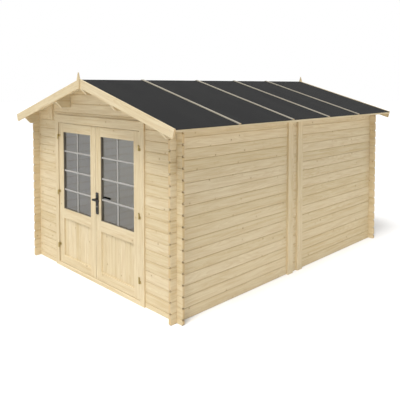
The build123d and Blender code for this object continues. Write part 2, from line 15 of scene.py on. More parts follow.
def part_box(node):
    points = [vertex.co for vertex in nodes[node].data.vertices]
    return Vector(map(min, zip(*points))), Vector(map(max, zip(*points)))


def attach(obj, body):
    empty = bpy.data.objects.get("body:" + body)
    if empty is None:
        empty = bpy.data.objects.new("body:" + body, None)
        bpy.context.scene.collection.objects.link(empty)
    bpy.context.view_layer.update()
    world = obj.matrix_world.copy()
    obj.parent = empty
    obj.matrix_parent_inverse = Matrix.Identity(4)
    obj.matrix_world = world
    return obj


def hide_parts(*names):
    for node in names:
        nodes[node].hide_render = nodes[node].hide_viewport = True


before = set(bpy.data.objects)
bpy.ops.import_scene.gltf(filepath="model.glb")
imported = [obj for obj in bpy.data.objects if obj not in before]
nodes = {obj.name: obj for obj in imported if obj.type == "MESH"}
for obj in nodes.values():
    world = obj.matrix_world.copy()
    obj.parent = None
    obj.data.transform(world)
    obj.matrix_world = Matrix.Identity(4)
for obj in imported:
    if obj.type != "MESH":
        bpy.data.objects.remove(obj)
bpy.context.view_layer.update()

# %% [markdown]
# ## Camera
# The uprights of the cabin stay almost upright in the picture, as they do when a lens is shifted and
# not tilted. A level camera with a downward shift gives this. A slight tilt takes part of the work, so
# that the shift is no larger than the picture needs.

# %% Set the camera
STANDPOINT = (4.994, -5.181, 2.337)
TILT_DEG = 2.5
TURN_DEG = 45.48
camera_data = bpy.data.cameras.new("camera")
camera_data.sensor_width = 36.0
camera_data.lens = 44.84
camera_data.shift_y = -0.2328
camera = bpy.data.objects.new("camera", camera_data)
camera.location = STANDPOINT
camera.rotation_euler = (math.radians(90.0 - TILT_DEG), 0.0, math.radians(TURN_DEG))
bpy.context.scene.collection.objects.link(camera)
bpy.context.scene.camera = camera
print("camera at", STANDPOINT, "with a lens of", camera_data.lens)

# %% [markdown]
# ## Small helpers for finishes
# A finish is a tree of nodes. Trees could be built node by node, but the same few steps return in all of
# them, so each step gets a short helper: make a material, add a node, and set or link one of its inputs.


# %% Make a material and add nodes
def new_finish(name):
    """A material with its node tree and its shader."""
    material = bpy.data.materials.new(name)
    material.use_nodes = True
    return material, material.node_tree, material.node_tree.nodes["Principled BSDF"]


def put(socket, value):
    """Sets an input to a number or colour, or links it to another node's output."""
    if isinstance(value, bpy.types.NodeSocket):
        socket.id_data.links.new(value, socket)
    elif isinstance(value, (tuple, list)) and len(value) == 3 and len(socket.default_value) == 4:
        socket.default_value = (*value, 1.0)
    else:
        socket.default_value = value


def add(tree, kind, inputs=None, **settings):
    """A new node with its settings and inputs."""
    made = tree.nodes.new(kind)
    for key, value in settings.items():
        setattr(made, key, value)
    for key, value in (inputs or {}).items():
        put(made.inputs[key], value)
    return made


print("helpers for nodes ready")

# %% [markdown]
# Patterns are worked out with arithmetic on numbers and places, and colours are blended by an amount.
# These helpers return the output that the next step takes up.


# %% Arithmetic and blends
def sums(tree, operation, first, second=0.0, third=0.0):
    """One step of arithmetic on numbers or outputs."""
    made = add(tree, "ShaderNodeMath", operation=operation)
    for socket, value in zip(made.inputs, (first, second, third)):
        put(socket, value)
    return made.outputs[0]


def times(tree, first, second):
    """The product of two numbers or outputs."""
    return sums(tree, "MULTIPLY", first, second)


def span(tree, value, low, high, to_low, to_high):
    """Stretches a value from one range to another, and keeps it inside."""
    made = add(tree, "ShaderNodeMapRange", {"Value": value, "From Min": low, "From Max": high,
                                            "To Min": to_low, "To Max": to_high})
    return made.outputs["Result"]


def stretched(tree, place, factors):
    """A place scaled differently along each axis, so that a pattern runs with the grain."""
    made = add(tree, "ShaderNodeVectorMath", operation="MULTIPLY")
    put(made.inputs[0], place)
    put(made.inputs[1], factors)
    return made.outputs["Vector"]


def mix_colours(tree, amount, first, second):
    """Blends two colours by an amount."""
    made = add(tree, "ShaderNodeMix", data_type="RGBA")
    by_id = {socket.identifier: socket for socket in made.inputs}
    put(by_id["Factor_Float"], amount)
    put(by_id["A_Color"], first)
    put(by_id["B_Color"], second)
    return next(socket for socket in made.outputs if socket.identifier == "Result_Color")


print("helpers for sums and blends ready")

# %% [markdown]
# ## Pine
# Planed spruce and pine is pale, with growth rings that run along the piece in long loops, darker knots
# that the rings bend round, and orange ends where the rings are cut across. A picture of wood could be
# laid on, but it would repeat and stretch. A pattern worked out from the place on the cabin fits every log.

# %% Pine colours
PINE = (0.725, 0.612, 0.405)
LATE_WOOD = (0.575, 0.430, 0.232)
KNOT = (0.270, 0.150, 0.070)
END_GRAIN = (0.660, 0.490, 0.270)
INSIDE_PINE = (0.800, 0.745, 0.610)
# Painted shade for the notches at the sawn-off corners of log ends, over darker slanting end grain.
PAINTED_NOTCH_SHADE = (0.300, 0.205, 0.100)
print("pine", PINE, "late wood", LATE_WOOD)

# %% [markdown]
# Logs and boards are cut from different trees, so each draws a lot for its tone and for where its
# pattern starts. A wall's logs are one solid, so a log is known by its course, which follows from the
# height, and by its half of the wall. Boards carry a number of their own.

# %% Which log or board a point is on
LOG_PITCH = 0.114


def wall_lot(tree, place, first_course, split_axis, split_at):
    """A lot for each log: by its course, its half of the wall and its side of the cabin."""
    parts = add(tree, "ShaderNodeSeparateXYZ", {"Vector": place})
    height = sums(tree, "SUBTRACT", parts.outputs["Z"], first_course)
    course = sums(tree, "FLOOR", sums(tree, "DIVIDE", height, LOG_PITCH))
    half = sums(tree, "GREATER_THAN", parts.outputs[split_axis], split_at)
    other_axis = "X" if split_axis == "Y" else "Y"
    side = sums(tree, "GREATER_THAN", parts.outputs[other_axis], 0.0)
    key = add(tree, "ShaderNodeCombineXYZ", {"X": course, "Y": half, "Z": side})
    vector = key.outputs["Vector"]
    return add(tree, "ShaderNodeTexWhiteNoise", {"Vector": vector}, noise_dimensions="3D")


def board_lot(tree, place):
    """A lot for each board, from the number that the board carries."""
    number = add(tree, "ShaderNodeAttribute", attribute_name="board")
    return add(tree, "ShaderNodeTexWhiteNoise", {"W": number.outputs["Fac"]}, noise_dimensions="1D")


def patch_lot(tree, place):
    """A slow change of tone for pieces that stand alone."""
    return add(tree, "ShaderNodeTexNoise", {"Vector": place, "Scale": 1.3, "Detail": 0.0})


print("lots by wall course, by board and by place, for a pitch of", LOG_PITCH)

# %% [markdown]
# A cell pattern scatters the knots. Each cell has a point in it, and the distance to that point gives
# both the dark core and the wider zone in which the rings bend. A few cells are left without a knot.

# %% Knots
KNOT_CELLS = 8.5
BARE_CELLS = 0.15


def knots(tree, start):
    """How far the rings bend at a point, and how much of a knot it is."""
    cells = add(tree, "ShaderNodeTexVoronoi", {"Vector": start, "Scale": KNOT_CELLS})
    draw = add(tree, "ShaderNodeSeparateColor", {"Color": cells.outputs["Color"]}).outputs["Red"]
    chosen = sums(tree, "GREATER_THAN", draw, BARE_CELLS)
    near = span(tree, cells.outputs["Distance"], 0.03, 0.30, 1.0, 0.0)
    core = span(tree, cells.outputs["Distance"], 0.045, 0.100, 1.0, 0.0)
    bend = times(tree, sums(tree, "POWER", near, 2.2), chosen)
    return bend, times(tree, core, chosen)


print("knots:", KNOT_CELLS, "cells to the metre")

# %% [markdown]
# The rings are the contour lines of a slow noise that is drawn out along the grain, as a map's lines
# follow a hill. Waves could draw rings too, but they stay too even. Two finer noises make the streaks
# and the fibre.

# %% Growth rings
RING_LINES = 21.0
RING_BEND = 0.32
RING_STRETCH = (0.6, 10.0, 10.0)
STREAK_STRETCH = (2.2, 36.0, 36.0)
FIBRE_STRETCH = (5.0, 320.0, 320.0)


def grain_noise(tree, start, stretch, detail, roughness):
    """A noise that is drawn out along the grain."""
    place = stretched(tree, start, stretch)
    made = add(tree, "ShaderNodeTexNoise", {"Vector": place, "Scale": 1.0, "Detail": detail,
                                            "Roughness": roughness})
    return made.outputs["Fac"]


def late_wood(tree, start, bend):
    """The dark part of each ring, which ends sharply where the next ring starts."""
    slow = grain_noise(tree, start, RING_STRETCH, 1.5, 0.35)
    lines = times(tree, sums(tree, "MULTIPLY_ADD", bend, RING_BEND, slow), RING_LINES)
    ring = sums(tree, "FRACT", lines)
    return times(tree, span(tree, ring, 0.35, 0.9, 0.0, 1.0), span(tree, ring, 0.9, 1.0, 1.0, 0.0))


print("rings:", RING_LINES, "contour lines")

# %% [markdown]
# A saw that cuts across the grain opens the ends of the fibres, and they turn orange and dull. A face is
# an end where its normal lies along the grain, so one dot product tells ends from long faces.

# %% The run of the grain, and cut ends
TURNS = {"X": (0.0, 0.0, 0.0), "Y": (0.0, 0.0, -math.pi / 2), "Z": (0.0, math.pi / 2, 0.0)}
AXES = {"X": (1.0, 0.0, 0.0), "Y": (0.0, 1.0, 0.0), "Z": (0.0, 0.0, 1.0)}


def run_of_grain(grain, lean_deg):
    """How the grain is turned on to the pattern's own X, and the way it runs."""
    if not lean_deg:
        return TURNS[grain], AXES[grain]
    lean = math.radians(lean_deg)
    return (0.0, lean, 0.0), (math.cos(lean), 0.0, math.sin(lean))


def across_grain(tree, spot, axis):
    """From nought on a long face to one on a square cut end."""
    facing = add(tree, "ShaderNodeVectorMath", operation="DOT_PRODUCT")
    put(facing.inputs[0], spot.outputs["Normal"])
    put(facing.inputs[1], axis)
    return sums(tree, "ABSOLUTE", facing.outputs["Value"])


def cut_ends(tree, colour, across, fibre):
    """Lays end grain over the faces that are cut across."""
    cut_colour = mix_colours(tree, span(tree, fibre, 0.35, 0.7, 0.0, 0.7), END_GRAIN, LATE_WOOD)
    return mix_colours(tree, sums(tree, "GREATER_THAN", across, 0.8), colour, cut_colour)


print("grain can run along", sorted(TURNS), "or lean with the roof")

# %% [markdown]
# The V joints between logs lie in shade, and a soft painted shade beside each joint widens it. The joints
# are at an even pitch, so the distance to the nearest one follows from the height alone.

# %% Painted shade beside the joints
JOINT_EDGE = 0.004
JOINT_REACH = 0.024
JOINT_DEPTH = 0.15


def painted_joint_shade(tree, place, first_joint):
    """How much painted shade a point gets from the joint nearest to it."""
    height = add(tree, "ShaderNodeSeparateXYZ", {"Vector": place}).outputs["Z"]
    courses = sums(tree, "DIVIDE", sums(tree, "SUBTRACT", height, first_joint), LOG_PITCH)
    past_middle = sums(tree, "SUBTRACT", sums(tree, "FRACT", sums(tree, "ADD", courses, 0.5)), 0.5)
    distance = times(tree, sums(tree, "ABSOLUTE", past_middle), LOG_PITCH)
    return span(tree, distance, JOINT_EDGE, JOINT_REACH, JOINT_DEPTH, 0.0)


print("joint shade reaches", JOINT_REACH)

# %% [markdown]
# Logs that daylight doesn't reach stay paler than the ones outside. A log has one finish for both its
# faces, so the finish asks where a point is: what lies between the walls' inner faces is in the room.

# %% Which points are in the room
room_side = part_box("right_wall_logs")[0].x
room_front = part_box("left_front_wall_logs")[1].y
room_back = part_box("back_wall_logs")[0].y
FACE_PLAY = 0.001


def in_room(tree, place):
    """One for points on the room's side of the walls, and nought for the rest."""
    parts = add(tree, "ShaderNodeSeparateXYZ", {"Vector": place})
    sideways = sums(tree, "ABSOLUTE", parts.outputs["X"])
    from_middle = sums(tree, "SUBTRACT", parts.outputs["Y"], (room_front + room_back) / 2)
    lengthways = sums(tree, "ABSOLUTE", from_middle)
    between = sums(tree, "LESS_THAN", sideways, room_side + FACE_PLAY)
    within = sums(tree, "LESS_THAN", lengthways, (room_back - room_front) / 2 + FACE_PLAY)
    return times(tree, between, within)


print("room: half width", room_side, "from", room_front, "to", room_back)

# %% [markdown]
# Log edges are planed to a V, and the corners of the log ends are sawn off. Both get painted shade: a
# little on the V edges, and more in the notches, which the log behind shades and where the slanting end
# grain is darker too. Both slope, so neither faces straight up nor straight out, and the normal's height
# finds them.
# Painting them by hand would take hours for over a hundred logs.

# %% What only wall logs have
ROOM_SHARE = 0.75
# Amounts of painted shade on the V edges and in the notches.
PAINTED_BEVEL_SHADE = 0.10
PAINTED_NOTCH_SHARE = 0.65


def painted_shade_and_room_side(tree, spot, colour, across, first_joint):
    """Painted shade by the joints, on the V edges and in the notches, and a paler room side."""
    place = spot.outputs["Object"]
    colour = mix_colours(tree, painted_joint_shade(tree, place, first_joint), colour, LATE_WOOD)
    colour = mix_colours(tree, times(tree, in_room(tree, place), ROOM_SHARE), colour, INSIDE_PINE)
    normal = add(tree, "ShaderNodeSeparateXYZ", {"Vector": spot.outputs["Normal"]})
    level = sums(tree, "ABSOLUTE", normal.outputs["Z"])
    sloping = sums(tree, "GREATER_THAN", level, 0.3)
    bevel = times(tree, sloping, sums(tree, "LESS_THAN", level, 0.9))
    # Painted shade on the V edges at the joints.
    colour = mix_colours(tree, times(tree, bevel, PAINTED_BEVEL_SHADE), colour, LATE_WOOD)
    # Painted shade in the notches, where the log behind shades the sawn-off corners.
    corner = times(tree, bevel, sums(tree, "GREATER_THAN", across, 0.3))
    return mix_colours(tree, times(tree, corner, PAINTED_NOTCH_SHARE), colour, PAINTED_NOTCH_SHADE)


# Prints the painted shade on the V edges and in the notches.
print("painted shade: edges", PAINTED_BEVEL_SHADE, "corners", PAINTED_NOTCH_SHARE)

# %% [markdown]
# The finish is put together from these patterns. Rings, streaks and knots darken the pale wood in turn,
# the lot warms or cools the whole piece a little, and a low bump follows the rings and the fibre.

# %% Colour and relief of grown wood
LOT_SHIFT = (9.0, 3.0, 3.0)


def shifted(tree, turned, luck):
    """A place moved by its lot, so that no two logs or boards show the same wood."""
    made = add(tree, "ShaderNodeVectorMath", operation="MULTIPLY_ADD")
    put(made.inputs[0], luck.outputs["Color"])
    put(made.inputs[1], LOT_SHIFT)
    put(made.inputs[2], turned)
    return made.outputs["Vector"]


def grown_colour(tree, pale, dark, late, streak, bend, knot):
    """Pale wood darkened by its rings, its streaks and its knots."""
    colour = mix_colours(tree, times(tree, late, 0.36), pale, dark)
    colour = mix_colours(tree, span(tree, streak, 0.42, 0.75, 0.0, 0.7), colour, dark)
    colour = mix_colours(tree, times(tree, bend, 0.35), colour, dark)
    return mix_colours(tree, times(tree, knot, 0.6), colour, KNOT)


def toned(tree, colour, luck, shade):
    """A piece's own tone: dark lots are a little warmer."""
    number = luck.outputs["Value"] if "Value" in luck.outputs else luck.outputs["Fac"]
    tone = span(tree, number, 0.0, 1.0, 0.95 * shade, 1.04 * shade)
    warmth = span(tree, number, 0.0, 1.0, 1.06, 0.95)
    made = add(tree, "ShaderNodeHueSaturation", {"Color": colour, "Value": tone, "Saturation": warmth})
    return made.outputs["Color"]


def planed_relief(tree, late, fibre, knot):
    """Raised rings and fibre, with knots planed a little lower."""
    raised = sums(tree, "MULTIPLY_ADD", late, 0.5, fibre)
    relief = sums(tree, "SUBTRACT", raised, times(tree, knot, 0.6))
    made = add(tree, "ShaderNodeBump", {"Height": relief, "Strength": 0.22, "Distance": 0.0015})
    return made.outputs["Normal"]


print("lots shift the wood by up to", LOT_SHIFT)


# %% The pine finish
def pine_finish(name, grain="X", lean_deg=0.0, lot=None, pale=PINE, dark=LATE_WOOD, shade=1.0,
                first_joint=None):
    """Pine with its grain along an axis, or along a roof slope when it leans."""
    material, tree, shader = new_finish(name)
    spot = add(tree, "ShaderNodeTexCoord")
    place = spot.outputs["Object"]
    turn, axis = run_of_grain(grain, lean_deg)
    turned = add(tree, "ShaderNodeMapping", {"Vector": place, "Rotation": turn}).outputs["Vector"]
    luck = lot(tree, place) if lot else patch_lot(tree, place)
    # Pieces that stand alone are far enough apart to differ by their places
    start = shifted(tree, turned, luck) if lot else turned
    bend, knot = knots(tree, start)
    late = late_wood(tree, start, bend)
    streak = grain_noise(tree, start, STREAK_STRETCH, 4.0, 0.6)
    fibre = grain_noise(tree, start, FIBRE_STRETCH, 2.0, 0.5)
    across = across_grain(tree, spot, axis)
    colour = grown_colour(tree, pale, dark, late, streak, bend, knot)
    colour = cut_ends(tree, colour, across, fibre)
    # Wall logs get painted shade at their joints, V edges and notches, and a paler room side.
    if first_joint is not None:
        colour = painted_shade_and_room_side(tree, spot, colour, across, first_joint)
    put(shader.inputs["Base Color"], toned(tree, colour, luck, shade))
    put(shader.inputs["Roughness"], span(tree, streak, 0.2, 0.8, 0.58, 0.74))
    put(shader.inputs["Specular IOR Level"], 0.3)
    put(shader.inputs["Normal"], planed_relief(tree, late, fibre, knot))
    print("finish:", name, len(tree.nodes), "nodes")
    return material


# %% [markdown]
# Wood has to run the right way on each piece: along the logs, up the stiles and down the roof boards. One
# finish for each run of the grain is enough. Side walls are spliced near the middle, so their halves draw
# their lots apart. Back logs run right across, so their halves are split beyond the wall's end.

# %% Pine for the logs
SPLICE_Y = -0.020
HALF_LOG = LOG_PITCH / 2
NO_SPLIT = 9.0


def side_lot(tree, place):
    """A lot for each log of the side walls."""
    return wall_lot(tree, place, 0.0, "Y", SPLICE_Y)


def front_lot(tree, place):
    """A lot for each log beside the door."""
    return wall_lot(tree, place, HALF_LOG, "X", 0.0)


def back_lot(tree, place):
    """A lot for each log that runs right across."""
    return wall_lot(tree, place, HALF_LOG, "X", NO_SPLIT)


side_pine = pine_finish("pine_side_logs", "Y", lot=side_lot, first_joint=0.0)
front_pine = pine_finish("pine_front_logs", "X", lot=front_lot, first_joint=HALF_LOG)
back_pine = pine_finish("pine_back_logs", "X", lot=back_lot, first_joint=HALF_LOG)

# %% Pine for beams, frames, boards and battens
SLOPE_DEG = 16.1
GREY_PINE = (0.42, 0.385, 0.31)
GREY_LATE = (0.30, 0.26, 0.19)
LEANS = {"right": -SLOPE_DEG, "left": SLOPE_DEG}
beam_pine = pine_finish("pine_beams", "Y", shade=0.94)
level_pine = pine_finish("pine_level", "X")
upright_pine = pine_finish("pine_upright", "Z")
floor_board_pine = pine_finish("pine_floor_boards", "X", lot=board_lot, shade=0.95)
panel_board_pine = pine_finish("pine_panel_boards", "Z", lot=board_lot)
slope_pine = {}
roof_board_pine = {}
batten_wood = {}
for side, lean in LEANS.items():
    slope_pine[side] = pine_finish(f"pine_{side}_slope", lean_deg=lean)
    roof_board_pine[side] = pine_finish(f"pine_roof_boards_{side}", lean_deg=lean, lot=board_lot)
    batten_wood[side] = pine_finish(f"grey_battens_{side}", lean_deg=lean, pale=GREY_PINE, dark=GREY_LATE)

# %% [markdown]
# ## Felt
# Roof felt is bitumen sheet with crushed stone pressed into it: dark, dull and speckled. Modelled grains
# would run into millions, so a fine cell pattern gives each grain its own grey and a little height.

# %% Felt
FELT_DARK = (0.010, 0.010, 0.0105)
FELT_PALE = (0.024, 0.024, 0.024)
FELT_WASHED = (0.027, 0.027, 0.026)
FELT_GRAINS = 420.0


def felt_finish():
    """Mineral felt with grains, and a slow mottle where rain has washed it."""
    material, tree, shader = new_finish("mineral_felt")
    place = add(tree, "ShaderNodeTexCoord").outputs["Object"]
    grains = add(tree, "ShaderNodeTexVoronoi", {"Vector": place, "Scale": FELT_GRAINS})
    grey = add(tree, "ShaderNodeSeparateColor", {"Color": grains.outputs["Color"]}).outputs["Red"]
    drawn = stretched(tree, place, (0.8, 3.0, 0.8))
    mottle = add(tree, "ShaderNodeTexNoise", {"Vector": drawn, "Scale": 1.6, "Detail": 5.0,
                                              "Roughness": 0.62}).outputs["Fac"]
    colour = mix_colours(tree, grey, FELT_DARK, FELT_PALE)
    colour = mix_colours(tree, span(tree, mottle, 0.35, 0.75, 0.0, 0.5), colour, FELT_WASHED)
    put(shader.inputs["Base Color"], colour)
    put(shader.inputs["Roughness"], span(tree, grey, 0.0, 1.0, 0.82, 0.98))
    put(shader.inputs["Specular IOR Level"], 0.15)
    height = grains.outputs["Distance"]
    bump = add(tree, "ShaderNodeBump", {"Height": height, "Strength": 0.5, "Distance": 0.002})
    put(shader.inputs["Normal"], bump.outputs["Normal"])
    return material


felt = felt_finish()
print("felt:", felt.name)

# %% [markdown]
# ## Glass
# Window glass lets nearly all light through, so the inside lever shows black behind it. Grey paint on the
# pane would look like the picture from one side only. Here the light really passes, and a slightly cool
# tint takes the warmth out of the wooden room, so that the panes look grey.

# %% Glass
GLASS_TINT = (0.630, 0.690, 0.840)
GLASS_TINT_SMEARED = (0.670, 0.730, 0.880)


def glass_finish():
    """Clear window glass with a cool tint and faint smears."""
    material, tree, shader = new_finish("window_glass")
    place = add(tree, "ShaderNodeTexCoord").outputs["Object"]
    smear = add(tree, "ShaderNodeTexNoise", {"Vector": place, "Scale": 3.5, "Detail": 4.0}).outputs["Fac"]
    put(shader.inputs["Base Color"], mix_colours(tree, smear, GLASS_TINT, GLASS_TINT_SMEARED))
    put(shader.inputs["Roughness"], span(tree, smear, 0.3, 0.7, 0.03, 0.10))
    put(shader.inputs["Specular IOR Level"], 0.1)
    put(shader.inputs["IOR"], 1.45)
    put(shader.inputs["Transmission Weight"], 1.0)
    return material


glass = glass_finish()
print("glass:", glass.name)

# %% [markdown]
# ## Metals, rubber and paint
# The hinges are dull brass plate, the screws zinc, the handle satin black. The glass liner is dark rubber
# and the glazing bars are painted grey. All of them are plain surfaces that a fine cloud makes a little
# uneven, so one helper with a row of values serves for all.


# %% Plain surfaces
def cloudy_finish(name, pale, dark, metallic, smooth, rough, grain, shine=0.5):
    """A metal, rubber or paint with a fine uneven surface."""
    material, tree, shader = new_finish(name)
    place = add(tree, "ShaderNodeTexCoord").outputs["Object"]
    cloud = add(tree, "ShaderNodeTexNoise", {"Vector": place, "Scale": grain, "Detail": 4.0}).outputs["Fac"]
    colour = mix_colours(tree, span(tree, cloud, 0.3, 0.7, 0.0, 1.0), pale, dark)
    put(shader.inputs["Base Color"], colour)
    put(shader.inputs["Roughness"], span(tree, cloud, 0.3, 0.7, smooth, rough))
    put(shader.inputs["Metallic"], metallic)
    put(shader.inputs["Specular IOR Level"], shine)
    bump = add(tree, "ShaderNodeBump", {"Height": cloud, "Strength": 0.15, "Distance": 0.0004})
    put(shader.inputs["Normal"], bump.outputs["Normal"])
    print("finish:", name)
    return material


brass = cloudy_finish("dull_brass", (0.58, 0.47, 0.23), (0.36, 0.28, 0.12), 1.0, 0.28, 0.45, 180.0)
black = cloudy_finish("satin_black", (0.012, 0.010, 0.008), (0.022, 0.018, 0.014), 0.0, 0.30, 0.42,
                      420.0, 0.2)
zinc = cloudy_finish("zinc_screws", (0.52, 0.50, 0.44), (0.36, 0.34, 0.29), 1.0, 0.30, 0.48, 260.0)
liner_rubber = cloudy_finish("dark_liner", (0.170, 0.145, 0.110), (0.220, 0.190, 0.145), 0.0, 0.6, 0.8,
                             90.0, 0.2)
bar_paint = cloudy_finish("bar_paint", (0.400, 0.390, 0.365), (0.350, 0.340, 0.318), 0.0, 0.45, 0.6, 60.0)

# %% [markdown]
# ## Dress the solids
# Each solid takes the finish whose grain runs as its own does. Finishes could be given one by one, but
# names say what a piece is, so a table of words is enough. The first word that fits decides.

# %% Finish by name
FINISHES = [
    ("left_felt_battens", batten_wood["left"]), ("felt_battens", batten_wood["right"]),
    ("felt", felt), ("glass", glass), ("hinge", brass), ("handle", black),
    ("left_front_bargeboard", slope_pine["left"]), ("left_back_bargeboard", slope_pine["left"]),
    ("bargeboard", slope_pine["right"]), ("back_wall_logs", back_pine), ("gable_logs", back_pine),
    ("front_wall_logs", front_pine), ("sill_log", back_pine), ("lintel", back_pine),
    ("wall_logs", side_pine), ("splice", upright_pine), ("eave", beam_pine), ("purlin", beam_pine),
    ("bearers", beam_pine), ("rails", level_pine), ("door_head", level_pine),
    ("door_sill", level_pine), ("floor_deck", level_pine), ("", upright_pine),
]
for name, solid in nodes.items():
    chosen = next(finish for word, finish in FINISHES if word in name)
    solid.data.materials.clear()
    solid.data.materials.append(chosen)
print("dressed", len(nodes), "solids")

# %% [markdown]
# ## Boards
# The roof deck, the floor and the lower door panels are slabs in the model, but the real ones are boards
# side by side. Lines in the finish could suggest them, but boards with eased edges catch the light and
# leave true V lines. Each board is a cube, scaled to its place, with a number for its finish.


# %% A board, and a finished piece
def block(bm, low, high, number, run, ease, only=None):
    """A block between two corners, with the edges that lie along its run eased."""
    low, high = Vector(low), Vector(high)
    place = Matrix.Translation((low + high) / 2) @ Matrix.Diagonal((*(high - low), 1.0))
    made = bmesh.ops.create_cube(bm, size=1.0, matrix=place)["verts"]
    layer = bm.faces.layers.float.get("board") or bm.faces.layers.float.new("board")
    for face in {face for vert in made for face in vert.link_faces}:
        face[layer] = number
    edges = {edge for vert in made for edge in vert.link_edges}
    long_edges = [edge for edge in edges
                  if abs((edge.verts[0].co - edge.verts[1].co).normalized()[run]) > 0.99]
    if only is not None:
        long_edges = [edge for edge in long_edges
                      if only((edge.verts[0].co + edge.verts[1].co) / 2)]
    bmesh.ops.bevel(bm, geom=long_edges, offset=ease, offset_type="OFFSET", segments=1, profile=0.5,
                    affect="EDGES", material=-1, clamp_overlap=True)


def piece(name, bm, finish, body, replaced=None):
    """Turns a bmesh into an object that rides on a body."""
    mesh = bpy.data.meshes.new(name)
    bm.to_mesh(mesh)
    bm.free()
    mesh.materials.append(finish)
    made = bpy.data.objects.new(name, mesh)
    bpy.context.scene.collection.objects.link(made)
    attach(made, body)
    if replaced:
        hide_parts(replaced)
    print(f"{name}: {len(mesh.polygons)} faces on {body}")


print("helpers for boards and pieces ready")

# %% [markdown]
# Roof boards run from ridge to eave under the felt, with a V at each joint that shows from below. They
# could be turned to the slope, but then their ends would lean. They are laid level and sheared, so that
# their ends stay upright, as the slab's are.

# %% Roof boards
SLOPE = math.tan(math.radians(SLOPE_DEG))
BOARD_GAP = 0.0008
ROOF_BOARDS = 46
ROOF_EASE = 0.004


def roof_boards(side):
    """One slope's boards, from ridge to eave, laid level and then sheared to the slope."""
    low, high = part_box(f"{side}_roof_deck")
    drop = high.z - low.z - (high.x - low.x) * SLOPE
    step = (high.y - low.y) / ROOF_BOARDS
    bm = bmesh.new()
    for count in range(ROOF_BOARDS):
        near = low.y + count * step
        far = near + step - BOARD_GAP
        block(bm, (low.x, near, -drop), (high.x, far, 0.0), count + 1.0, 0, ROOF_EASE,
              only=lambda middle: middle.z < -drop / 2)
    shear = Matrix.Identity(4)
    shear[2][0] = -SLOPE if side == "right" else SLOPE
    shear[2][3] = high.z
    bmesh.ops.transform(bm, matrix=shear, verts=bm.verts)
    piece(f"{side}_roof_boards", bm, roof_board_pine[side], "cabin", f"{side}_roof_deck")


roof_boards("right")
roof_boards("left")

# %% [markdown]
# Floor boards lie across the bearers and show when the doors are open. They are flat blocks with lightly
# eased edges, side by side from front to back.

# %% Floor boards
FLOOR_BOARDS = 40
FLOOR_EASE = 0.002
low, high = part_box("floor_deck")
step = (high.y - low.y) / FLOOR_BOARDS
bm = bmesh.new()
for count in range(FLOOR_BOARDS):
    near = low.y + count * step
    far = near + step - BOARD_GAP
    block(bm, (low.x, near, low.z), (high.x, far, high.z), count + 1.0, 0, FLOOR_EASE)
piece("floor_boards", bm, floor_board_pine, "cabin", "floor_deck")

# %% [markdown]
# The lower half of each leaf is filled with upright boards, whose V joints show on both faces. They ride
# on the leaf, so they swing with it.

# %% Panel boards
PANEL_BOARDS = 7
PANEL_EASE = 0.004
FIRST_NUMBER = {"left": 1.0, "right": 21.0}


def panel_boards(side):
    """A leaf's lower panel: upright boards with V joints on both faces."""
    low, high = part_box(f"{side}_door_panel")
    step = (high.x - low.x) / PANEL_BOARDS
    bm = bmesh.new()
    for count in range(PANEL_BOARDS):
        near = low.x + count * step
        far = near + step - (BOARD_GAP if count < PANEL_BOARDS - 1 else 0.0)
        number = count + FIRST_NUMBER[side]
        block(bm, (near, low.y, low.z), (far, high.y, high.z), number, 2, PANEL_EASE)
    piece(f"{side}_panel_boards", bm, panel_board_pine, f"{side}_door", f"{side}_door_panel")


panel_boards("left")
panel_boards("right")

# %% [markdown]
# ## Glazing bars
# Each leaf's glass is one sheet. Bars outside and slimmer ones inside divide it into two columns of four
# panes. Panes could be cut apart, but such bars are laid on the glass in real leaves too. A bar is a
# block whose edges away from the glass are eased.

# %% Glazing bars
REBATE = 0.010
BAR_WIDTH = 0.020
BAR_DEPTH = 0.009
BAR_EASE = 0.004
INNER_BAR_WIDTH = 0.012
INNER_BAR_DEPTH = 0.005
INNER_BAR_EASE = 0.002
PANE_ROWS = 4


def pane_opening(side):
    """The part of a leaf's glass that its frame leaves free."""
    low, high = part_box(f"{side}_door_glass")
    return low.x + REBATE, high.x - REBATE, low.z + REBATE, high.z - REBATE


def bar_cross(bm, opening, front, back, half, ease, way):
    """One upright bar and the short level bars beside it, on one face of the glass."""
    left, right, foot, top = opening
    middle = (left + right) / 2

    def outside(spot):
        return (spot.y - (front + back) / 2) * way > 0

    block(bm, (middle - half, front, foot), (middle + half, back, top), 1.0, 2, ease, only=outside)
    for row in range(1, PANE_ROWS):
        level = foot + (top - foot) * row / PANE_ROWS
        for start, end in ((left, middle - half), (middle + half, right)):
            block(bm, (start, front, level - half), (end, back, level + half), 1.0, 0, ease, only=outside)


for side in ("left", "right"):
    low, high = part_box(f"{side}_door_glass")
    opening = pane_opening(side)
    bm = bmesh.new()
    bar_cross(bm, opening, low.y - BAR_DEPTH, low.y, BAR_WIDTH / 2, BAR_EASE, -1)
    bar_cross(bm, opening, high.y, high.y + INNER_BAR_DEPTH, INNER_BAR_WIDTH / 2, INNER_BAR_EASE, 1)
    piece(f"{side}_glazing_bars", bm, bar_paint, f"{side}_door")

# %% [markdown]
# ## Glass liners
# A dark rubber liner seals the glass to its frame all round. Four strips would leave seams at the
# corners. A rectangle that is inset to a thin ring and then drawn out closes its corners by itself.

# %% Glass liners
LINER_WIDTH = 0.003
LINER_SHORT_OUTSIDE = 0.003
LINER_SHORT_INSIDE = 0.002


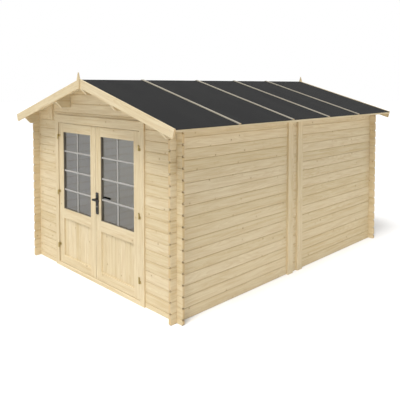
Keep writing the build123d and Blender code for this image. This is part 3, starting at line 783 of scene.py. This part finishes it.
def glass_liner(bm, opening, face_y, reach):
    """A thin ring round an opening, drawn out from the glass face."""
    left, right, foot, top = opening
    middle = Matrix.Translation(((left + right) / 2, face_y, (foot + top) / 2))
    upright = middle @ Matrix.Rotation(math.pi / 2, 4, "X")
    grow = Matrix.Diagonal(((right - left) / 2, (top - foot) / 2, 1.0, 1.0))
    made = bmesh.ops.create_grid(bm, x_segments=1, y_segments=1, size=1.0, matrix=upright @ grow)["verts"]
    sheet = list({face for vert in made for face in vert.link_faces})
    ring = bmesh.ops.inset_individual(bm, faces=sheet, thickness=LINER_WIDTH,
                                      use_even_offset=True)["faces"]
    bmesh.ops.delete(bm, geom=sheet, context="FACES_ONLY")
    drawn = bmesh.ops.extrude_face_region(bm, geom=ring)["geom"]
    moved = [item for item in drawn if isinstance(item, bmesh.types.BMVert)]
    bmesh.ops.translate(bm, vec=(0.0, reach, 0.0), verts=moved)


for side in ("left", "right"):
    low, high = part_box(f"{side}_door_glass")
    front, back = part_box(f"{side}_door_stiles")
    opening = pane_opening(side)
    bm = bmesh.new()
    glass_liner(bm, opening, low.y, front.y - low.y + LINER_SHORT_OUTSIDE)
    glass_liner(bm, opening, high.y, back.y - high.y - LINER_SHORT_INSIDE)
    bmesh.ops.recalc_face_normals(bm, faces=bm.faces)
    piece(f"{side}_glass_liner", bm, liner_rubber, f"{side}_door")

# %% [markdown]
# ## Screws and nails
# A screw head is a short cone whose top face is inset and pushed in for the driver, and a smaller flat one
# is a nail. A full thread would never show. Each head is turned to face out of the surface that it is
# driven into. Sizes are the radius, the height and the depth of the recess.

# %% Heads
HINGE_SCREW = (0.0034, 0.0012, 0.0007)
PLATE_SCREW = (0.0042, 0.0016, 0.0009)
LOCK_CYLINDER = (0.0090, 0.0040, 0.0012)
BOARD_SCREW = (0.0036, 0.0012, 0.0007)
WIRE_NAIL = (0.0030, 0.0008, 0.0004)
FELT_NAIL = (0.0045, 0.0008, 0.0003)


def head(bm, centre, facing, size):
    """One screw or nail head on a surface, facing outwards."""
    radius, height, recess = size
    out = Vector(facing).normalized()
    turn = Vector((0, 0, 1)).rotation_difference(out).to_matrix().to_4x4()
    place = Matrix.Translation(Vector(centre) + out * height / 2) @ turn
    made = bmesh.ops.create_cone(bm, cap_ends=True, segments=10, radius1=radius, radius2=radius * 0.72,
                                 depth=height, matrix=place)["verts"]
    faces = {face for vert in made for face in vert.link_faces}
    top = max(faces, key=lambda face: face.calc_center_median().dot(out))
    bmesh.ops.inset_individual(bm, faces=[top], thickness=radius * 0.34, depth=-recess)


print("a hinge screw's head is", 2 * HINGE_SCREW[0], "wide")

# %% [markdown]
# Each hinge has a flag on the frame and one on the leaf, a little higher, and two screws hold each flag.
# The frame's screws stay with the cabin and the leaf's swing with it, so they are pieces of their own.

# %% Hinge screws
HINGE_HEIGHTS = (0.268, 0.958, 1.679)
FLAG_RISE = 0.0145
FLAG_THICKNESS = 0.003
SCREW_RISE = 0.007


def hinge_screws(name, x, plate_y, rise, body):
    """Two screws in each flag of a leaf's three hinges."""
    bm = bmesh.new()
    for height in HINGE_HEIGHTS:
        for step in (-SCREW_RISE, SCREW_RISE):
            head(bm, (x, plate_y, height + rise + step), (0, -1, 0), HINGE_SCREW)
    piece(name, bm, brass, body)


for side, way in (("left", -1), ("right", 1)):
    low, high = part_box(f"{side}_hinge_pins")
    outer = (high.x if way > 0 else low.x) - way * 0.010
    hinge_screws(f"{side}_frame_hinge_screws", outer, high.y - FLAG_THICKNESS, -FLAG_RISE, "cabin")
    low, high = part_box(f"{side}_door_hinges")
    inner = (low.x if way > 0 else high.x) + way * 0.012
    leaf_plate = high.y - FLAG_THICKNESS
    hinge_screws(f"{side}_leaf_hinge_screws", inner, leaf_plate, FLAG_RISE, f"{side}_door")

# %% [markdown]
# The handle's long plates have a screw near each end and a round lock cylinder below the lever, outside
# and inside.

# %% Handle plate screws and lock cylinders
PLATE_SCREW_INSET = 0.016
CYLINDER_HEIGHT = 0.918
low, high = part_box("handle_plates")
plate_x = (low.x + high.x) / 2
bm = bmesh.new()
for face_y, out in ((low.y, -1), (high.y, 1)):
    for level in (low.z + PLATE_SCREW_INSET, high.z - PLATE_SCREW_INSET):
        head(bm, (plate_x, face_y, level), (0, out, 0), PLATE_SCREW)
    head(bm, (plate_x, face_y, CYLINDER_HEIGHT), (0, out, 0), LOCK_CYLINDER)
piece("handle_plate_screws", bm, zinc, "right_door")

# %% [markdown]
# The upright boards over the log butts are screwed to every second course, and the cleats under the
# bargeboards have two screws each.

# %% Screws in the cover boards and cleats
COVER_INSET = 0.050
COVER_SPREAD = 0.028
COVER_ROWS = 8
CLEAT_X = 1.055
CLEAT_RISES = (0.035, 0.125)
bm = bmesh.new()
for side, way in (("left", -1), ("right", 1)):
    low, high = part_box(f"{side}_wall_splice_boards")
    face_x = high.x if way > 0 else low.x
    for middle in (low.y + COVER_INSET, high.y - COVER_INSET):
        for row in range(COVER_ROWS):
            level = HALF_LOG + row * 2 * LOG_PITCH
            for shift in (-COVER_SPREAD, COVER_SPREAD):
                head(bm, (face_x, middle + shift, level), (way, 0, 0), BOARD_SCREW)
low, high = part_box("gable_cleats")
for face_y, out in ((low.y, -1), (high.y, 1)):
    for way in (-1, 1):
        for rise in CLEAT_RISES:
            head(bm, (way * CLEAT_X, face_y, low.z + rise), (0, out, 0), BOARD_SCREW)
piece("board_screws", bm, zinc, "cabin")

# %% [markdown]
# Bargeboards are nailed in pairs to the purlins and the wall, finials to the bargeboards, and the battens
# through the felt into the roof boards. All these nails are one piece, because nothing moves them apart.

# %% Nails in the bargeboards and finials
BARGE_REACHES = (0.085, 0.579, 1.404, 1.560)
BARGE_DROPS = (0.030, 0.078)
FINIAL_RISES = (0.045, 0.105)
bm = bmesh.new()
ridge_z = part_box("right_front_bargeboard")[1].z
for node, out in (("right_front_bargeboard", -1), ("right_back_bargeboard", 1)):
    low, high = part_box(node)
    face_y = low.y if out < 0 else high.y
    for way in (-1, 1):
        for reach in BARGE_REACHES:
            for drop in BARGE_DROPS:
                level = ridge_z - SLOPE * reach - drop
                head(bm, (way * reach, face_y, level), (0, out, 0), WIRE_NAIL)
for node, out in (("front_finial", -1), ("back_finial", 1)):
    low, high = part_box(node)
    for rise in FINIAL_RISES:
        head(bm, (0.0, low.y if out < 0 else high.y, low.z + rise), (0, out, 0), WIRE_NAIL)
print("nails in the bargeboards and finials:", len(bm.faces), "faces")

# %% Nails through the battens
BATTEN_SHARES = (0.205, 0.424, 0.603, 0.782)
BATTEN_NAILS = 11
FIRST_NAIL = 0.06
NAIL_STEP = 0.15
batten_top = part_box("right_felt_battens")[1].z
low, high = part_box("right_roof_felt")
for share in BATTEN_SHARES:
    along = low.y + share * (high.y - low.y)
    for way in (-1, 1):
        for count in range(BATTEN_NAILS):
            reach = FIRST_NAIL + count * NAIL_STEP
            top = batten_top - SLOPE * reach
            head(bm, (way * reach, along, top), (way * SLOPE, 0, 1), FELT_NAIL)
piece("nail_heads", bm, zinc, "cabin")

# %% [markdown]
# ## Floor
# The picture has a white ground with a faint shadow at the back. A pale floor in full light is white by
# itself and keeps the shadow. For the camera a small part of it is plain white, which softens the shadow
# without more light on the cabin. Mirrors and glass see the same ground as the camera.

# %% Floor
WHITE_SHARE = 0.15


def seen_plainly(tree):
    """One for rays that show the ground or sky to the eye, and nought for the light itself."""
    paths = add(tree, "ShaderNodeLightPath")
    direct = sums(tree, "MAXIMUM", paths.outputs["Is Camera Ray"], paths.outputs["Is Glossy Ray"])
    return sums(tree, "MAXIMUM", direct, paths.outputs["Is Transmission Ray"])


bm = bmesh.new()
bmesh.ops.create_grid(bm, x_segments=1, y_segments=1, size=60.0)
ground_mesh = bpy.data.meshes.new("ground")
bm.to_mesh(ground_mesh)
bm.free()
ground = bpy.data.objects.new("ground", ground_mesh)
bpy.context.scene.collection.objects.link(ground)
ground_finish, tree, shader = new_finish("pale_ground")
put(shader.inputs["Base Color"], (0.97, 0.97, 0.97))
put(shader.inputs["Roughness"], 0.9)
put(shader.inputs["Specular IOR Level"], 0.0)
white = add(tree, "ShaderNodeEmission", {"Strength": 1.0})
join = add(tree, "ShaderNodeMixShader")
put(join.inputs[0], times(tree, seen_plainly(tree), WHITE_SHARE))
put(join.inputs[1], shader.outputs["BSDF"])
put(join.inputs[2], white.outputs["Emission"])
put(tree.nodes["Material Output"].inputs["Surface"], join.outputs["Shader"])
ground_mesh.materials.append(ground_finish)
print("ground:", ground.name)

# %% [markdown]
# ## Light
# A white sky gives an even soft light. A steep, wide sun from the front and a little to the right makes
# the front brighter than the side and lets the eaves shade the tops of the walls. A soft lamp stands in
# for the daylight that a shut room gets through its windows, a little cool, as light from the sky is.
# It lights the walls and the floor, but its own bright disc mustn't be seen through the panes.

# %% Sky
SKY_LIGHT = 0.38
world = bpy.data.worlds.new("studio")
bpy.context.scene.world = world
world.use_nodes = True
tree = world.node_tree
sky = tree.nodes["Background"]
put(sky.inputs["Color"], (1.0, 1.0, 1.0))
strength = sums(tree, "MULTIPLY_ADD", seen_plainly(tree), 1.0 - SKY_LIGHT, SKY_LIGHT)
put(sky.inputs["Strength"], strength)
bpy.context.scene.view_settings.view_transform = "Standard"
print("sky light", SKY_LIGHT)

# %% Sun and room lamp
sun_data = bpy.data.lights.new("soft_sun", "SUN")
sun_data.energy = 2.95
sun_data.angle = math.radians(22.0)
sun = bpy.data.objects.new("soft_sun", sun_data)
sun.rotation_euler = (math.radians(24.0), 0.0, math.radians(18.0))
bpy.context.scene.collection.objects.link(sun)
room_data = bpy.data.lights.new("room_glow", "POINT")
room_data.energy = 23.0
room_data.color = (0.84, 0.93, 1.0)
room_data.shadow_soft_size = 0.4
room_light = bpy.data.objects.new("room_glow", room_data)
room_light.location = (0.0, 0.3, 1.5)
room_light.visible_transmission = False
bpy.context.scene.collection.objects.link(room_light)
print("sun energy", sun_data.energy, "room lamp", room_data.energy)
